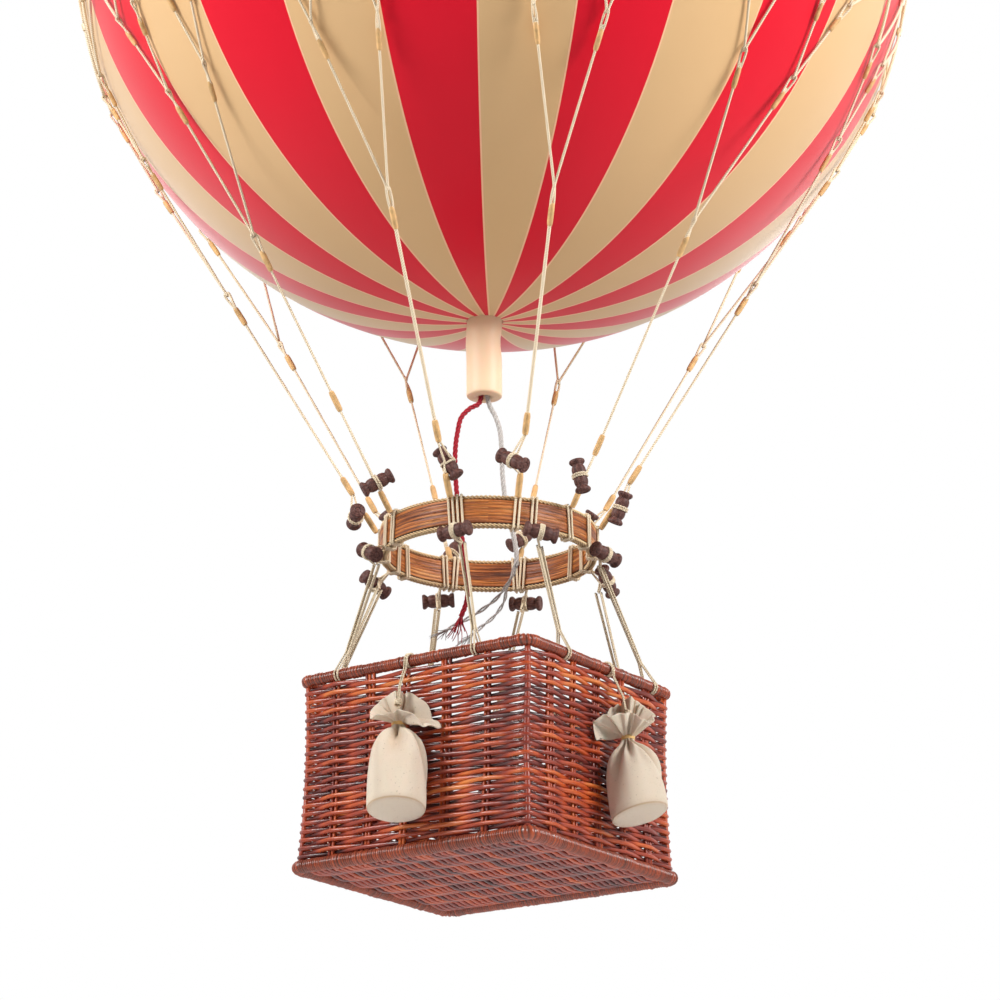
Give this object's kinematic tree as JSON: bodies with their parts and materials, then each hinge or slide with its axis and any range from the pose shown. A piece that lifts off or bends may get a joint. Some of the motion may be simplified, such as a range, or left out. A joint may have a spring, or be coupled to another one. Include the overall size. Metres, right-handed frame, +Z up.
{
  "type": "decorative hanging model of a gas balloon",
  "caption": "Scale model of a striped balloon with net, toggled load ring, wicker basket and sandbags, hung from the loop at its crown.",
  "frame": {"origin": "where a hook bears inside the hanging loop at the crown", "axes": "+Z up through the envelope's middle, -Y towards the front, +X to the right as seen from the front"},
  "size_m": [0.4283, 0.4273, 0.7375],
  "materials": {
    "envelope_paint": "satin paint in red and cream gores",
    "neck_plastic": "satin",
    "bent_wood": "oiled, open grain",
    "dark_wood": "waxed",
    "net_cord": "twisted cotton",
    "wicker": "stained and varnished willow",
    "calico": "plain woven",
    "red_cord": "twisted cotton",
    "white_cord": "twisted cotton"
  },
  "bodies": {
    "balloon": {"envelope": "envelope_paint", "crown_ring": "net_cord", "hanging_loop": "net_cord", "neck_tube": "neck_plastic", "load_ring": "bent_wood", "ring_cord_upper": "net_cord", "ring_cord_lower": "net_cord", "net_cord_01": "net_cord", "net_cord_02": "net_cord", "net_cord_03": "net_cord", "net_cord_04": "net_cord", "net_cord_05": "net_cord", "net_cord_06": "net_cord", "net_cord_07": "net_cord", "net_cord_08": "net_cord", "net_cord_09": "net_cord", "net_cord_10": "net_cord", "upper_toggle_01": "dark_wood", "upper_toggle_02": "dark_wood", "upper_toggle_03": "dark_wood", "upper_toggle_04": "dark_wood", "upper_toggle_05": "dark_wood", "upper_toggle_06": "dark_wood", "upper_toggle_07": "dark_wood", "upper_toggle_08": "dark_wood", "upper_toggle_09": "dark_wood", "upper_toggle_10": "dark_wood", "lower_toggle_1": "dark_wood", "lower_toggle_2": "dark_wood", "lower_toggle_3": "dark_wood", "lower_toggle_4": "dark_wood", "lower_toggle_5": "dark_wood", "lower_toggle_6": "dark_wood", "lower_toggle_7": "dark_wood", "lower_toggle_8": "dark_wood", "basket_cord_1": "net_cord", "basket_cord_2": "net_cord", "basket_cord_3": "net_cord", "basket_cord_4": "net_cord", "basket_cord_5": "net_cord", "basket_cord_6": "net_cord", "basket_cord_7": "net_cord", "basket_cord_8": "net_cord", "basket_wall_front_left": "wicker", "basket_wall_front_right": "wicker", "basket_wall_back_right": "wicker", "basket_wall_back_left": "wicker", "basket_rim_roll": "wicker", "basket_border_roll": "wicker", "basket_base": "wicker", "red_cord": "red_cord", "white_cord": "white_cord"},
    "sandbag_front_left": {"sandbag_front_left": "calico"},
    "sandbag_front_right": {"sandbag_front_right": "calico"},
    "sandbag_back_right": {"sandbag_back_right": "calico"},
    "sandbag_back_left": {"sandbag_back_left": "calico"}
  },
  "joints": [
    {"name": "sandbag_front_left_swing", "type": "hinge", "parent": "balloon", "child": "sandbag_front_left", "pos_m": [-0.03546, -0.0461, -0.6421], "axis": [-0.8121, 0.5835, 0], "range_deg": [0, 70]},
    {"name": "sandbag_front_right_swing", "type": "hinge", "parent": "balloon", "child": "sandbag_front_right", "pos_m": [0.05563, -0.03357, -0.6421], "axis": [-0.5835, -0.8121, 0], "range_deg": [0, 70]},
    {"name": "sandbag_back_right_swing", "type": "hinge", "parent": "balloon", "child": "sandbag_back_right", "pos_m": [0.03555, 0.04604, -0.6421], "axis": [0.8121, -0.5835, 0], "range_deg": [0, 70]},
    {"name": "sandbag_back_left_swing", "type": "hinge", "parent": "balloon", "child": "sandbag_back_left", "pos_m": [-0.05435, 0.03536, -0.6421], "axis": [0.5835, 0.8121, 0], "range_deg": [0, 70]}
  ]
}
